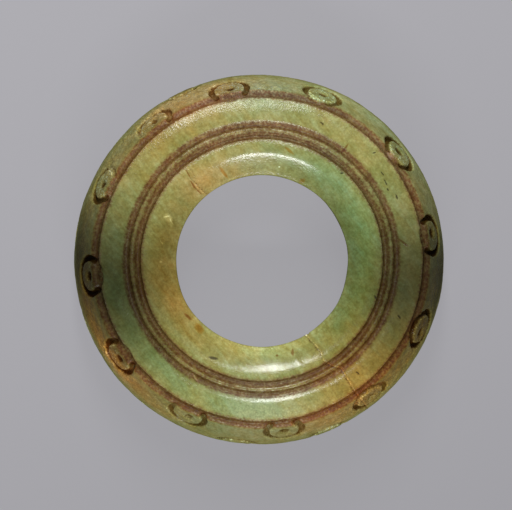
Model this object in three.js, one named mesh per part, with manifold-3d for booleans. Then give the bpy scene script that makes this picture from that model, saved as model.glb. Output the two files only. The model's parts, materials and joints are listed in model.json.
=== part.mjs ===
// A turned spindle whorl of green-stained bone, in millimetres with +Z up.
// It is one solid ring, flat underneath and domed above, so the model holds one mesh.
// The origin is the centre of the flat underside, on the axis of the spindle hole.
import * as THREE from "three";
import { mergeVertices } from "three/addons/utils/BufferGeometryUtils.js";
import Module from "manifold-3d";

const wasm = await Module();
wasm.setup();

// Spindle hole
const boreRadius = 6.95; // at the neck, where the funnel runs into the hole
const boreFlare = 0.25; // how much the hole widens from the neck to the underside
const mouthRound = 0.35; // rounding of the hole's lower lip
const neckRound = 0.25; // rounding of the neck
const neckSlope = 33; // degrees from level, where the funnel reaches the neck

// Bands of the decorated top, each a width along the radius, from the hole outwards
const innerRollReach = 2.45; // neck of the hole to the roll's crown
const innerRollLip = 0.39; // crown to the first groove
const pairGrooveWidth = 0.54; // each of the two grooves beside the fine ridge
const ridgeWidth = 0.35; // fine ridge between them
const midBandWidth = 1.88;
const shoulderGrooveWidth = 0.46;
const shoulderInset = 1.44; // shoulder groove to the widest line of the whorl

// Rounded side, which carries the ring-and-dot marks
const widestHeight = 4.1; // the widest line above the underside
const sideCurve = 10; // radius of the side in section
const footRound = 0.7; // rounding from the side into the flat underside

// Heights of the top bands above the shoulder, and how far each one swells
const midBandRise = 0.28; // at the band's edges
const midBandBulge = 0.22;
const ridgeRise = 0.46; // at the ridge's edges
const ridgeBulge = 0.07;
const innerRollRise = 0.74; // at the roll's crown
const innerRollCurve = 2.05; // radius of the roll in section
const innerRollSlope = 26; // degrees from level, where the roll runs into the funnel
const pairGrooveDepth = 0.36;
const shoulderGrooveDepth = 0.28; // below the shoulder

// Ring-and-dot marks, all cut with the same bit
const ringRadius = 1.465; // to the middle of the ring's groove
const ringGrooveWidth = 0.53;
const ringDepth = 0.35;
const dotRadius = 0.28;
const dotDepth = 0.35;
const upperRowInset = 1.27; // shoulder to the upper row's line, along the side
const rowSpacing = 5.35; // upper row to lower row, along the side
const cutOverrun = 0.3; // how far a cutter stands out of the surface

// Where each mark lies: degrees round from +X, and its rise over the row's line as a share of the
// row spacing. The marks were set out by eye, so neither is even.
const upperRowMarks = [
  { degrees: 7.8, riseShare: 0.04 },
  { degrees: 37.2, riseShare: -0.04 },
  { degrees: 69.1, riseShare: -0.07 },
  { degrees: 100.5, riseShare: 0.04 },
  { degrees: 128.1, riseShare: 0.03 },
  { degrees: 154.5, riseShare: 0 },
  { degrees: 185.8, riseShare: 0.06 },
  { degrees: 214.8, riseShare: 0.04 },
  { degrees: 245, riseShare: 0.03 },
  { degrees: 277.9, riseShare: 0.01 },
  { degrees: 308.7, riseShare: -0.11 },
  { degrees: 336.4, riseShare: -0.08 },
];
const lowerRowMarks = [
  { degrees: 20, riseShare: -0.08 },
  { degrees: 53, riseShare: -0.04 },
  { degrees: 84.8, riseShare: 0.01 },
  { degrees: 115.3, riseShare: 0.37 },
  { degrees: 140, riseShare: -0.04 },
  { degrees: 171.5, riseShare: 0 },
  { degrees: 200, riseShare: 0.02 },
  { degrees: 228.8, riseShare: -0.02 },
  { degrees: 262.8, riseShare: 0.35 },
  { degrees: 292, riseShare: 0.33 },
  { degrees: 325, riseShare: -0.08 },
  { degrees: 352, riseShare: -0.08 },
];

// Facets
const turnFacets = 72;
const rollFacets = 5;
const funnelFacets = 4;
const neckFacets = 3;
const sideFacets = 8;
const bandFacets = 4;
const ridgeFacets = 2;
const footFacets = 2;
const mouthFacets = 2;
const ringFacets = 16;
const dotFacets = 6;

// Radii and heights that follow from the sizes above
const crownRadius = boreRadius + innerRollReach;
const innerGrooveStart = crownRadius + innerRollLip;
const ridgeStart = innerGrooveStart + pairGrooveWidth;
const ridgeEnd = ridgeStart + ridgeWidth;
const midBandStart = ridgeEnd + pairGrooveWidth;
const midBandEnd = midBandStart + midBandWidth;
const shoulderRadius = midBandEnd + shoulderGrooveWidth;
const outerRadius = shoulderRadius + shoulderInset;
const sideCentre = outerRadius - sideCurve;
const shoulderAngle = Math.acos((shoulderRadius - sideCentre) / sideCurve);
const shoulderHeight = widestHeight + sideCurve * Math.sin(shoulderAngle);
const crownHeight = shoulderHeight + innerRollRise;

// Angles in the section, from straight out
const straightUp = Math.PI / 2;
const straightIn = Math.PI;
const straightDown = -Math.PI / 2;

const point = (radius, height) => new THREE.Vector2(radius, height);

// Points along an ellipse in section, both ends included.
function ellipseArc(centre, reach, rise, fromAngle, toAngle, facets) {
  return Array.from({ length: facets + 1 }, (_, step) => {
    const angle = THREE.MathUtils.lerp(fromAngle, toAngle, step / facets);
    return point(centre.x + reach * Math.cos(angle), centre.y + rise * Math.sin(angle));
  });
}

// A swelling band from its outer edge to its inner edge: the circle through both edges and the crown.
function swellingBand(innerEdge, outerEdge, edgeHeight, bulge, facets) {
  const halfWidth = (outerEdge - innerEdge) / 2;
  const radius = (halfWidth ** 2 + bulge ** 2) / (2 * bulge);
  const halfAngle = Math.asin(halfWidth / radius);
  const centre = point(innerEdge + halfWidth, edgeHeight + bulge - radius);
  return ellipseArc(centre, radius, radius, straightUp - halfAngle, straightUp + halfAngle, facets);
}

// A round arc that starts at a point of the section, where its outward direction has the first angle.
function arcFrom(start, radius, fromAngle, toAngle, facets) {
  const centre = point(start.x - radius * Math.cos(fromAngle), start.y - radius * Math.sin(fromAngle));
  return ellipseArc(centre, radius, radius, fromAngle, toAngle, facets);
}

// The inner roll, the funnel that it runs into and the neck: three arcs that touch, from the first
// groove inwards. The funnel's radius follows from the slopes at its two ends.
function rollAndFunnel() {
  const rollEndAngle = straightUp + THREE.MathUtils.degToRad(innerRollSlope);
  const neckAngle = straightUp + THREE.MathUtils.degToRad(neckSlope);
  const lipAngle = Math.acos(innerRollLip / innerRollCurve);
  const rollCentre = point(crownRadius, crownHeight - innerRollCurve);
  const roll = ellipseArc(rollCentre, innerRollCurve, innerRollCurve, lipAngle, rollEndAngle, rollFacets);
  const funnelTop = roll.at(-1);
  const neckRadius = boreRadius + neckRound * (1 + Math.cos(neckAngle));
  const funnelCurve = (funnelTop.x - neckRadius) / (Math.cos(rollEndAngle) - Math.cos(neckAngle));
  const funnel = arcFrom(funnelTop, funnelCurve, rollEndAngle, neckAngle, funnelFacets);
  const neck = arcFrom(funnel.at(-1), neckRound, neckAngle, straightIn, neckFacets);
  return [...roll, ...funnel.slice(1), ...neck.slice(1)];
}

// The bottom of a groove with sloping walls, half way between its edges.
const grooveBottom = (innerEdge, outerEdge, height) => point((innerEdge + outerEdge) / 2, height);

// The foot's rounding touches the underside and the side's curve.
function footArc() {
  const centreOut = Math.sqrt((sideCurve - footRound) ** 2 - (widestHeight - footRound) ** 2);
  const centre = point(sideCentre + centreOut, footRound);
  const meetingAngle = Math.atan2(footRound - widestHeight, centreOut);
  const arc = ellipseArc(centre, footRound, footRound, straightDown, meetingAngle, footFacets);
  return { arc, meetingAngle };
}

// The whole section, as one closed loop that runs outwards along the underside.
function turnedSection() {
  const foot = footArc();
  const sideFrom = foot.meetingAngle;
  const sideMiddle = point(sideCentre, widestHeight);
  const side = ellipseArc(sideMiddle, sideCurve, sideCurve, sideFrom, shoulderAngle, sideFacets);
  const midBandEdge = shoulderHeight + midBandRise;
  const midBand = swellingBand(midBandStart, midBandEnd, midBandEdge, midBandBulge, bandFacets);
  const ridgeEdge = shoulderHeight + ridgeRise;
  const ridge = swellingBand(ridgeStart, ridgeEnd, ridgeEdge, ridgeBulge, ridgeFacets);
  const mouthCentre = point(boreRadius + boreFlare + mouthRound, mouthRound);
  const mouthEnd = straightIn + Math.PI / 2;
  const mouth = ellipseArc(mouthCentre, mouthRound, mouthRound, straightIn, mouthEnd, mouthFacets);
  const shoulderBottom = shoulderHeight - shoulderGrooveDepth;
  const pairBottom = ridgeEdge - pairGrooveDepth;
  const section = [
    ...foot.arc,
    ...side.slice(1),
    grooveBottom(midBandEnd, shoulderRadius, shoulderBottom),
    ...midBand,
    grooveBottom(ridgeEnd, midBandStart, pairBottom),
    ...ridge,
    grooveBottom(innerGrooveStart, ridgeStart, pairBottom),
    ...rollAndFunnel(),
    ...mouth,
  ];
  return [...section, section[0].clone()];
}

// A closed geometry as a solid: only positions are kept, so that shared corners merge.
function solidOf(geometry) {
  geometry.deleteAttribute("normal");
  geometry.deleteAttribute("uv");
  const merged = mergeVertices(geometry);
  const vertProperties = new Float32Array(merged.attributes.position.array);
  const triVerts = new Uint32Array(merged.index.array);
  return new wasm.Manifold(new wasm.Mesh({ numProp: 3, vertProperties, triVerts }));
}

function geometryOf(solid) {
  const mesh = solid.getMesh();
  const geometry = new THREE.BufferGeometry();
  geometry.setAttribute("position", new THREE.BufferAttribute(mesh.vertProperties, 3));
  geometry.setIndex(new THREE.BufferAttribute(mesh.triVerts, 1));
  geometry.computeVertexNormals();
  return geometry;
}

function turnedBody() {
  const geometry = new THREE.LatheGeometry(turnedSection(), turnFacets);
  geometry.rotateX(Math.PI / 2);
  return solidOf(geometry);
}

// The bit's ring runs in a plane, so it goes in deeper where the side curves away under it.
const ringFall = ringRadius ** 2 / (2 * sideCurve);

// The ring of the bit, with its point at the bottom of the groove, cutting along -Y.
function ringCutter() {
  const pointDepth = ringDepth + ringFall;
  const halfWidth = ((ringGrooveWidth / 2) * (pointDepth + cutOverrun)) / ringDepth;
  const section = [
    point(ringRadius, -pointDepth),
    point(ringRadius + halfWidth, cutOverrun),
    point(ringRadius - halfWidth, cutOverrun),
    point(ringRadius, -pointDepth),
  ];
  return new THREE.LatheGeometry(section, ringFacets);
}

// The point of the bit, a cone that cuts the dot.
function dotCutter() {
  const height = dotDepth + cutOverrun;
  const geometry = new THREE.ConeGeometry((dotRadius * height) / dotDepth, height, dotFacets);
  geometry.rotateX(Math.PI);
  geometry.translate(0, cutOverrun - height / 2, 0);
  return geometry;
}

// Turns a cutter's +Y outwards along the side's normal and moves it to a place on the side.
function markPlacement(degreesRound, arcAboveWidest) {
  const turn = THREE.MathUtils.degToRad(degreesRound);
  const rise = arcAboveWidest / sideCurve;
  const level = new THREE.Vector3(Math.cos(turn), Math.sin(turn), 0);
  const outwards = level.clone().multiplyScalar(Math.cos(rise));
  outwards.z = Math.sin(rise);
  const place = level.multiplyScalar(sideCentre).addScaledVector(outwards, sideCurve);
  place.z += widestHeight;
  const facing = new THREE.Quaternion().setFromUnitVectors(new THREE.Vector3(0, 1, 0), outwards);
  return new THREE.Matrix4().makeRotationFromQuaternion(facing).setPosition(place);
}

// One row of marks; the row's line is given by its height over the widest line, along the side.
function rowPlacements(marks, rowArc) {
  return marks.map(({ degrees, riseShare }) => markPlacement(degrees, rowArc + riseShare * rowSpacing));
}

function cutMarks(body) {
  const upperArc = sideCurve * shoulderAngle - upperRowInset;
  const upperRow = rowPlacements(upperRowMarks, upperArc);
  const lowerRow = rowPlacements(lowerRowMarks, upperArc - rowSpacing);
  return [...upperRow, ...lowerRow].reduce((solid, place) => {
    const ring = solidOf(ringCutter().applyMatrix4(place));
    const dot = solidOf(dotCutter().applyMatrix4(place));
    return solid.subtract(ring).subtract(dot);
  }, body);
}

const greenBone = new THREE.MeshStandardMaterial({ color: 0x8a8f58, roughness: 0.35, metalness: 0 });

const whorl = new THREE.Mesh(geometryOf(cutMarks(turnedBody())), greenBone);
whorl.name = "whorl";

const part = new THREE.Group();
part.add(whorl);

export default part;
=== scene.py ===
"""Looks of a spindle whorl: one ring of turned bone, stained green, with brown in its grooves.

The whorl's own sizes are in millimetres. Meshes, the ground, the lamps and the camera's distance are in
metres.
"""

import json
import logging
import math
from dataclasses import dataclass, field
from enum import Enum
from typing import Any, Callable

import bpy
import numpy as np
from mathutils import Matrix, Vector

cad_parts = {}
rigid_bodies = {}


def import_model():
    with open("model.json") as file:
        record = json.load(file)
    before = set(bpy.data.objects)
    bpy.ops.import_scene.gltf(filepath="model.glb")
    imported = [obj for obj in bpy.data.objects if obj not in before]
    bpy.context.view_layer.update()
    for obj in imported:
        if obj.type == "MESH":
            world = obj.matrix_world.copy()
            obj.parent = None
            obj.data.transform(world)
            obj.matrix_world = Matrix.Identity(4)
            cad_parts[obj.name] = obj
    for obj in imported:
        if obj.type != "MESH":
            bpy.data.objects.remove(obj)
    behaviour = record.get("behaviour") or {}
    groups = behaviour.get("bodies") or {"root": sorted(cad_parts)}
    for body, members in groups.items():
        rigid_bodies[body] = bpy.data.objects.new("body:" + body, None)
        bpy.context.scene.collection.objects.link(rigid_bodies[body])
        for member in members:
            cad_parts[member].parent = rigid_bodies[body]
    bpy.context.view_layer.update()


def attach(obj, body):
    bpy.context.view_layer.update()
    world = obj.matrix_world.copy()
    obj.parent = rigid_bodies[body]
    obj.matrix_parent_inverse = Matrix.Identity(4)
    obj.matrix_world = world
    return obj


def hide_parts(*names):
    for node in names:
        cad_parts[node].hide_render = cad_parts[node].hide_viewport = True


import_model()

log = logging.getLogger("spindle_whorl")

MM = 0.001
TAU = 2 * math.pi
TINY = 1e-9

Pair = tuple[float, float]
Triple = tuple[float, float, float]
Curve = tuple[np.ndarray, np.ndarray]


def linear(red: float, green: float, blue: float) -> tuple[float, float, float, float]:
    """Turns a colour as seen on a screen into linear values, by the sRGB formula.

    Args:
        red, green, blue: the colour's parts, 0 to 255.

    Returns:
        Linear red, green and blue, and an alpha of 1.
    """
    parts = [value / 255 for value in (red, green, blue)]
    return (*[p / 12.92 if p <= 0.04045 else ((p + 0.055) / 1.055) ** 2.4 for p in parts], 1.0)


def smooth_step(low: float, high: float, value: np.ndarray) -> np.ndarray:
    """Rises from 0 at low to 1 at high along 3t² - 2t³, where t is the share of the way.

    Args:
        low, high: where the rise starts and ends; high below low makes it fall.
        value: any array.

    Returns:
        An array of the same shape, 0 to 1.
    """
    share = np.clip((value - low) / (high - low), 0, 1)
    return share * share * (3 - 2 * share)


def ripple(
    points: np.ndarray, length: float, seed: int, waves: int = 28, spread: Pair = (0.7, 1.5)
) -> np.ndarray:
    """Smooth irregularity: a sum of plane waves of about one length, each with its own direction.

    Args:
        points: (..., 3) places in mm.
        length: the typical wavelength in mm.
        seed: which irregularity.
        waves: how many waves are summed.
        spread: the shortest and the longest wave, as shares of the length.

    Returns:
        Values of about -1 to 1 at each place.
    """
    rng = np.random.default_rng(seed)
    direction = rng.normal(size=(3, waves))
    direction /= np.linalg.norm(direction, axis=0)
    turns = TAU / (length * rng.uniform(*spread, waves))
    start = rng.uniform(0, TAU, waves)
    return np.cos(points @ (direction * turns) + start).sum(-1) / math.sqrt(2 * waves)


def turn_apart(degrees: np.ndarray, from_degrees: float) -> np.ndarray:
    """The signed angle between two bearings, -180 to 180 degrees."""
    return (degrees - from_degrees + 180) % 360 - 180


def bell(distance: np.ndarray, reach: float) -> np.ndarray:
    """exp(-(distance / reach)²)."""
    return np.exp(-((distance / reach) ** 2))


def linked(name: str, data: bpy.types.ID) -> bpy.types.Object:
    """Links a new object to the scene.

    Args:
        name: what it is called.
        data: its mesh, lamp or camera.

    Returns:
        The object.
    """
    obj = bpy.data.objects.new(name, data)
    bpy.context.scene.collection.objects.link(obj)
    return obj


def looking(right: Vector, back: Vector, place: Vector) -> Matrix:
    """Where a lamp or camera stands and how it is turned: local X to its right and local Z behind it."""
    return Matrix.Translation(place) @ Matrix((right, back.cross(right), back)).transposed().to_4x4()


@dataclass(frozen=True)
class SectionRows:
    """The section as rows, each a point of the closed loop that is turned round the axis.

    Attributes:
        radius, height: each row's place in the section.
        across: distance along the section, equal to the radius on the decorated bands.
        top: 1 on the decorated bands and the side, 0 on the underside and in the hole.
    """

    radius: np.ndarray
    height: np.ndarray
    across: np.ndarray
    top: np.ndarray


@dataclass(frozen=True)
class WhorlSection:
    """The whorl's turned section, from the neck of the hole outwards, as use has left it.

    Radii, widths and the bands' heights are the part's own. The neck's rounding, the grooves' depths, the
    mid band's swelling and the shoulder's edge are as use has left them.

    Attributes:
        neck_slope, inner_roll_slope: degrees from level, at the funnel's two ends.
        neck_lip: a fine raised lip round the neck: its place outside the hole, half width and height.
        mid_band_drops, mid_band_powers: how far and how steeply the band falls, inwards and outwards.
        pair_groove_depths: of the inner and the outer groove, below the ridge's edges.
        shoulder_groove_depth: below the plain shoulder.
        shoulder_wear: how far the side's upper edge is worn back from the shoulder groove.
        groove_squareness: 2 is a parabola; above it the bottom is flatter.
        bottoms_at: share of the way across at which each of the three grooves is deepest.
        funnel_crowding: above 1, the funnel's rows lie closer together towards the neck.
        lip_turn: radians on the roll between its last two rows, which keep the lip's corner sharp.
        upper_marks_from, lower_marks_to, lower_marks_from: rises that bound the finely divided stretches
            of the side.
    """

    bore_radius: float = 6.95
    bore_flare: float = 0.25
    mouth_round: float = 0.35
    neck_round: float = 0.12
    neck_slope: float = 33
    neck_lip: Triple = (0.11, 0.07, 0.014)
    inner_roll_reach: float = 2.45
    inner_roll_lip: float = 0.39
    pair_groove_width: float = 0.54
    ridge_width: float = 0.35
    mid_band_width: float = 1.88
    shoulder_groove_width: float = 0.46
    shoulder_inset: float = 1.44
    widest_height: float = 4.1
    side_curve: float = 10
    foot_round: float = 0.7
    mid_band_rise: float = 0.28
    mid_band_drops: Pair = (0.103, 0.1)
    mid_band_powers: Pair = (4.25, 1.45)
    ridge_rise: float = 0.46
    ridge_bulge: float = 0.07
    ridge_powers: Pair = (2, 2)
    inner_roll_rise: float = 0.74
    inner_roll_curve: float = 2.05
    inner_roll_slope: float = 26
    pair_groove_depths: Pair = (0.16, 0.28)
    shoulder_groove_depth: float = 0.2
    shoulder_wear: float = 0.18
    groove_squareness: float = 2.1
    bottoms_at: Triple = (0.4, 0.45, 0.32)
    funnel_crowding: float = 1.6
    lip_turn: float = 0.01
    roll_rows: int = 10
    funnel_rows: int = 12
    neck_rows: int = 4
    groove_rows: int = 6
    ridge_rows: int = 4
    mid_band_rows: int = 13
    upper_side_rows: int = 25
    plain_side_rows: int = 5
    lower_side_rows: int = 27
    foot_side_rows: int = 3
    edge_rows: int = 3
    upper_marks_from: float = 2.0
    lower_marks_to: float = 0.5
    lower_marks_from: float = -3.2

    @property
    def crown_radius(self) -> float:
        """Radius of the inner roll's crown."""
        return self.bore_radius + self.inner_roll_reach

    @property
    def inner_groove(self) -> Pair:
        """Edges of the groove inside the fine ridge."""
        start = self.crown_radius + self.inner_roll_lip
        return start, start + self.pair_groove_width

    @property
    def outer_groove(self) -> Pair:
        """Edges of the groove outside the fine ridge."""
        start = self.inner_groove[1] + self.ridge_width
        return start, start + self.pair_groove_width

    @property
    def shoulder_groove(self) -> Pair:
        """Edges of the groove at the shoulder."""
        start = self.outer_groove[1] + self.mid_band_width
        return start, start + self.shoulder_groove_width

    @property
    def outer_radius(self) -> float:
        """Radius at the widest line."""
        return self.shoulder_groove[1] + self.shoulder_inset

    @property
    def side_centre(self) -> float:
        """Radius of the point that the side curves round."""
        return self.outer_radius - self.side_curve

    @property
    def shoulder_angle(self) -> float:
        """Angle of the shoulder round the side's centre, from straight out."""
        return math.acos((self.shoulder_groove[1] - self.side_centre) / self.side_curve)

    @property
    def shoulder_height(self) -> float:
        """Height of the shoulder."""
        return self.widest_height + self.side_curve * math.sin(self.shoulder_angle)

    @property
    def worn_edge(self) -> float:
        """Radius of the side's upper edge, which use has worn back from the shoulder groove."""
        return self.shoulder_groove[1] + self.shoulder_wear

    @property
    def worn_rise(self) -> float:
        """Rise of that edge along the side."""
        return self.side_curve * math.acos((self.worn_edge - self.side_centre) / self.side_curve)

    @property
    def foot_centre(self) -> float:
        """Radius of the point that the foot's rounding curves round."""
        reach = self.side_curve - self.foot_round
        return self.side_centre + math.sqrt(reach**2 - (self.widest_height - self.foot_round) ** 2)

    @property
    def foot_angle(self) -> float:
        """Angle round the side's centre at which the side meets the foot's rounding."""
        return math.atan2(self.foot_round - self.widest_height, self.foot_centre - self.side_centre)

    def side_point(self, rise: np.ndarray | float) -> Curve:
        """The side's curve: a circle in section, as radius and height at a rise along it.

        Args:
            rise: arc length above the widest line.

        Returns:
            Radius and height.
        """
        centre = (self.side_centre, self.widest_height)
        return self.on_circle(centre, self.side_curve, rise / self.side_curve)

    def side_rises(self) -> np.ndarray:
        """Divides the side from its worn edge down to the foot, most finely where the marks are.

        Returns:
            The rises of its rows.
        """
        stops = (
            self.worn_rise,
            self.upper_marks_from,
            self.lower_marks_to,
            self.lower_marks_from,
            self.side_curve * self.foot_angle,
        )
        counts = (self.upper_side_rows, self.plain_side_rows, self.lower_side_rows, self.foot_side_rows)
        parts = [np.linspace(a, b, n, endpoint=False) for a, b, n in zip(stops, stops[1:], counts)]
        return np.concatenate(parts)

    @staticmethod
    def on_circle(centre: Pair, curve: float, angle: np.ndarray | float) -> Curve:
        """Radius and height at angles round a circle of the section, from straight out."""
        return centre[0] + curve * np.cos(angle), centre[1] + curve * np.sin(angle)

    def arc(
        self, centre: Pair, curve: float, start: float, end: float, count: int, power: float = 1
    ) -> Curve:
        """A circle's arc, without its end.

        Args:
            centre: the circle's centre.
            curve: its radius.
            start, end: angles from straight out.
            count: how many points.
            power: above 1, points lie closer together at the start.

        Returns:
            Radius and height.
        """
        share = np.linspace(0, 1, count, endpoint=False) ** power
        return self.on_circle(centre, curve, start + (end - start) * share)

    @staticmethod
    def band(edges: Pair, top: float, drops: Pair, powers: Pair, count: int) -> Curve:
        """A swelling band outwards, without its outer edge.

        Its height is top - drop·|a|^power, where a is -1 at its inner edge and 1 at its outer one.

        Args:
            edges: inner and outer radius.
            top: height of its middle.
            drops, powers: for its inner and its outer half.
            count: how many rows; they lie closest at the edges.

        Returns:
            Radius and height of each row.
        """
        share = np.sin(np.linspace(-1, 1, count, endpoint=False) * math.pi / 2)
        half = (share > 0).astype(int)
        radius = sum(edges) / 2 + share * (edges[1] - edges[0]) / 2
        return radius, top - np.take(drops, half) * np.abs(share) ** np.take(powers, half)

    def groove(self, edges: Pair, inner: float, outer: float, bottom: float, bottom_at: float) -> Curve:
        """A groove with a rounded bottom, without its outer edge.

        The height above the bottom is an edge's own times q^squareness, where q is the share of the way
        from the bottom to that edge.

        Args:
            edges: inner and outer radius.
            inner, outer: heights of the two edges.
            bottom: height at the bottom.
            bottom_at: share of the way across at which the bottom lies.

        Returns:
            Radius and height of each row; they lie closest at the inner edge.
        """
        share = 1 - np.cos(np.linspace(0, math.pi / 2, self.groove_rows, endpoint=False))
        inside = np.maximum(0, 1 - share / bottom_at) ** self.groove_squareness
        outside = np.maximum(0, (share - bottom_at) / (1 - bottom_at)) ** self.groove_squareness
        height = bottom + (inner - bottom) * inside + (outer - bottom) * outside
        return edges[0] + share * (edges[1] - edges[0]), height

    def rows_into_the_hole(self) -> Curve:
        """The neck, the funnel and the inner roll: three arcs that touch, outwards and with both ends.

        The funnel's radius follows from the slopes at its two ends. Use has left a fine raised lip
        round the neck: height·exp(-(distance / width)²), from its place outside the hole.

        Returns:
            Radius and height of each row.
        """
        upright = math.pi / 2
        crown = self.shoulder_height + self.inner_roll_rise
        lip = math.acos(self.inner_roll_lip / self.inner_roll_curve)
        top = upright + math.radians(self.inner_roll_slope)
        neck = upright + math.radians(self.neck_slope)
        roll = (self.crown_radius, crown - self.inner_roll_curve)
        top_radius, top_height = self.on_circle(roll, self.inner_roll_curve, top)
        neck_centre = self.bore_radius + self.neck_round
        neck_radius = neck_centre + self.neck_round * math.cos(neck)
        curve = (top_radius - neck_radius) / (math.cos(top) - math.cos(neck))
        funnel = (top_radius - curve * math.cos(top), top_height - curve * math.sin(top))
        neck_height = funnel[1] + (curve - self.neck_round) * math.sin(neck)
        pieces = [
            self.arc((neck_centre, neck_height), self.neck_round, math.pi, neck, self.neck_rows),
            self.arc(funnel, curve, neck, top, self.funnel_rows, self.funnel_crowding),
            self.arc(roll, self.inner_roll_curve, top, lip, self.roll_rows),
            self.on_circle(roll, self.inner_roll_curve, np.array([lip + self.lip_turn, lip])),
        ]
        radius, height = self.joined(pieces)
        lip_at, lip_width, lip_rise = self.neck_lip
        return radius, height + lip_rise * bell(radius - self.bore_radius - lip_at, lip_width)

    @staticmethod
    def joined(pieces: list[Curve]) -> Curve:
        """Radii and heights of several stretches, one after another."""
        radius, height = (np.concatenate(values) for values in zip(*pieces))
        return radius, height

    def rows(self) -> SectionRows:
        """The whole loop, from the neck over the top, down the side, along the base and up the hole.

        Returns:
            Its rows.
        """
        shoulder = self.shoulder_height
        ridge_edge = shoulder + self.ridge_rise
        band_edge = shoulder + self.mid_band_rise
        band_top = band_edge + self.mid_band_drops[0]
        inner_bottom, outer_bottom = (ridge_edge - depth for depth in self.pair_groove_depths)
        ridge = (self.inner_groove[1], self.outer_groove[0])
        ridge_drops = (self.ridge_bulge, self.ridge_bulge)
        mid_band = (self.outer_groove[1], self.shoulder_groove[0])
        hole = self.rows_into_the_hole()
        lip_height = hole[1][-1]
        foot_centre = (self.foot_centre, self.foot_round)
        mouth_centre = (self.bore_radius + self.bore_flare + self.mouth_round, self.mouth_round)
        bore = np.linspace(0, 1, self.edge_rows, endpoint=False)
        base = np.linspace(self.foot_centre, mouth_centre[0], self.edge_rows, endpoint=False)
        side = self.side_point(self.side_rises())
        pieces = [
            (hole[0][:-1], hole[1][:-1]),
            self.groove(self.inner_groove, lip_height, ridge_edge, inner_bottom, self.bottoms_at[0]),
            self.band(ridge, ridge_edge + self.ridge_bulge, ridge_drops, self.ridge_powers, self.ridge_rows),
            self.groove(self.outer_groove, ridge_edge, band_edge, outer_bottom, self.bottoms_at[1]),
            self.band(mid_band, band_top, self.mid_band_drops, self.mid_band_powers, self.mid_band_rows),
            self.groove(
                (self.shoulder_groove[0], self.worn_edge),
                band_top - self.mid_band_drops[1],
                float(side[1][0]),
                shoulder - self.shoulder_groove_depth,
                self.bottoms_at[2],
            ),
            side,
            self.arc(foot_centre, self.foot_round, self.foot_angle, -math.pi / 2, self.edge_rows),
            (base, np.zeros_like(base)),
            self.arc(mouth_centre, self.mouth_round, -math.pi / 2, -math.pi, self.edge_rows),
            (
                self.bore_radius + self.bore_flare * (1 - bore),
                self.mouth_round + bore * (hole[1][0] - self.mouth_round),
            ),
        ]
        radius, height = self.joined(pieces)
        step = np.hypot(np.diff(radius), np.diff(height))
        along = np.concatenate([[0], np.cumsum(step)])
        hole_rows = len(hole[0]) - 1
        crown_row = int(np.argmin(np.abs(radius[:hole_rows] - self.crown_radius)))
        shoulder_row = hole_rows + 3 * self.groove_rows + self.ridge_rows + self.mid_band_rows
        across = radius.copy()
        across[:crown_row] = radius[crown_row] - (along[crown_row] - along[:crown_row])
        across[shoulder_row:] = radius[shoulder_row] + (along[shoulder_row:] - along[shoulder_row])
        top = np.zeros_like(radius)
        top[: shoulder_row + len(side[0]) + 1] = 1
        return SectionRows(radius, height, across, top)


@dataclass(frozen=True)
class RingMark:
    """One ring-and-dot mark, cut into the side by a bit whose axis stands square to the surface.

    Attributes:
        degrees: place round the whorl from +X.
        rise: place of its centre, arc length above the widest line.
        depth: share of the bit's full depth.
        lean_on, lean_up: how much deeper it gets, mm per mm, further round and further up the side.
        dot_shift: how far further round its dot lies than its ring, as the bit's point had worn.
        worn: how much of the depth is rubbed away on one side, 0 to 1.
        worn_towards: the bearing of that side within the mark; 0 is further round, 90 is up the side.
        grime: how dark the dirt in it is, 0 to 1.
        dust_and_glints: where its ring's edges have pale dusting and fresh rubs, and painted glints where
            the polish catches the lamps: pairs of a bearing, as for worn_towards, and an amount.
        scraped_and_glinting: how pale and rough it is between ring and dot, with painted glints there, 0 to
            1.
        stained: how brown it is there, 0 to 1.
    """

    degrees: float
    rise: float
    depth: float = 1.0
    lean_on: float = 0.0
    lean_up: float = 0.0
    dot_shift: float = 0.0
    worn: float = 0.0
    worn_towards: float = 0.0
    grime: float = 0.7
    dust_and_glints: tuple[Pair, ...] = ()
    scraped_and_glinting: float = 0.38
    stained: float = 0.15


@dataclass(frozen=True)
class MarkBit:
    """The bit that cut every mark; its ring has the part's own radius, and its cut is worn wider.

    Attributes:
        ring_radius: to the middle of the ring's groove.
        depth: of the groove and of the dot, which is a cone.
        roundness: power of the groove's section; 2 is a parabola.
        lip: over how much height the cut's edges are rounded.
        surface_curve: radius of the side at a mark, between its curves up and round.
        followed: how far out the cut is worked out, in half widths and dot radii.
    """

    ring_radius: float = 1.465
    groove_width: float = 0.58
    depth: float = 0.42
    dot_radius: float = 0.5
    roundness: float = 2.6
    lip: float = 0.03
    surface_curve: float = 11.5
    followed: Pair = (1.6, 2.0)

    def cut(self, distance: np.ndarray, dot_distance: np.ndarray) -> np.ndarray:
        """Depth of the cut as a share of its whole depth.

        In the ring it is 1 - |offset / half width|^roundness, and in the dot 1 - distance / dot radius.

        Args:
            distance, dot_distance: from the ring's axis and from the dot's.

        Returns:
            The share, up to 1; below 0 outside the cut.
        """
        offset = np.abs(distance - self.ring_radius) / (self.groove_width / 2)
        ring = 1 - np.minimum(offset, self.followed[0]) ** self.roundness
        dot = 1 - np.minimum(dot_distance / self.dot_radius, self.followed[1])
        return np.maximum(ring, dot)


@dataclass(frozen=True)
class Spot:
    """A small place on the top, seen from above.

    Attributes:
        x, y: its centre.
        length, width: its reach along and across its own direction.
        bearing: its direction in degrees from +X.
    """

    x: float
    y: float
    length: float
    width: float
    bearing: float


@dataclass(frozen=True)
class Chip(Spot):
    """A small scoop out of the surface; depth is that of its middle."""

    depth: float


@dataclass(frozen=True)
class Fleck(Spot):
    """A small spot or streak; takes is how strongly it takes red, green and blue away, below 0 paler."""

    takes: Triple


@dataclass(frozen=True)
class Crack:
    """A hairline crack over the top.

    Attributes:
        path: its corners, seen from above.
        strength: how plainly it shows, 0 to 1.
    """

    path: tuple[Pair, ...]
    strength: float = 1.0


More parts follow.
